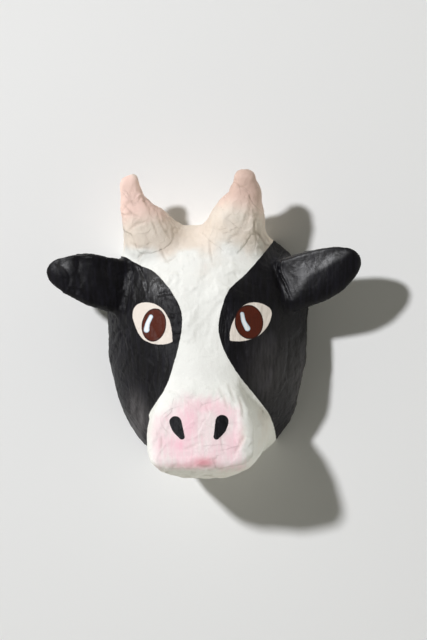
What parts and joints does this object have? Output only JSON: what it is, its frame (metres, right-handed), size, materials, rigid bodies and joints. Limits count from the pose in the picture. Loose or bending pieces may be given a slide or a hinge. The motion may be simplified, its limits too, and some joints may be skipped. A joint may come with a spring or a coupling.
{
  "type": "papier-mache cow head",
  "caption": "Hollow papier-mache cow's head, open at the back, with a boxy muzzle, horns and ears, painted black and white. It lies face up on its back's edge or is worn or hung as a mask.",
  "frame": {"origin": "under the middle of the head's box, on the plane of the open back's flat edge", "axes": "+Z out of the face, +Y towards the horns, +X to the right of someone who looks at the face"},
  "size_m": [0.3688, 0.3576, 0.1755],
  "materials": {
    "painted_paper": "pasted paper strips, brush-painted: matt white with a pink nose and horn tips, satin black patches and ears"
  },
  "bodies": {
    "root": {"cow_head": "painted_paper"}
  },
  "joints": []
}
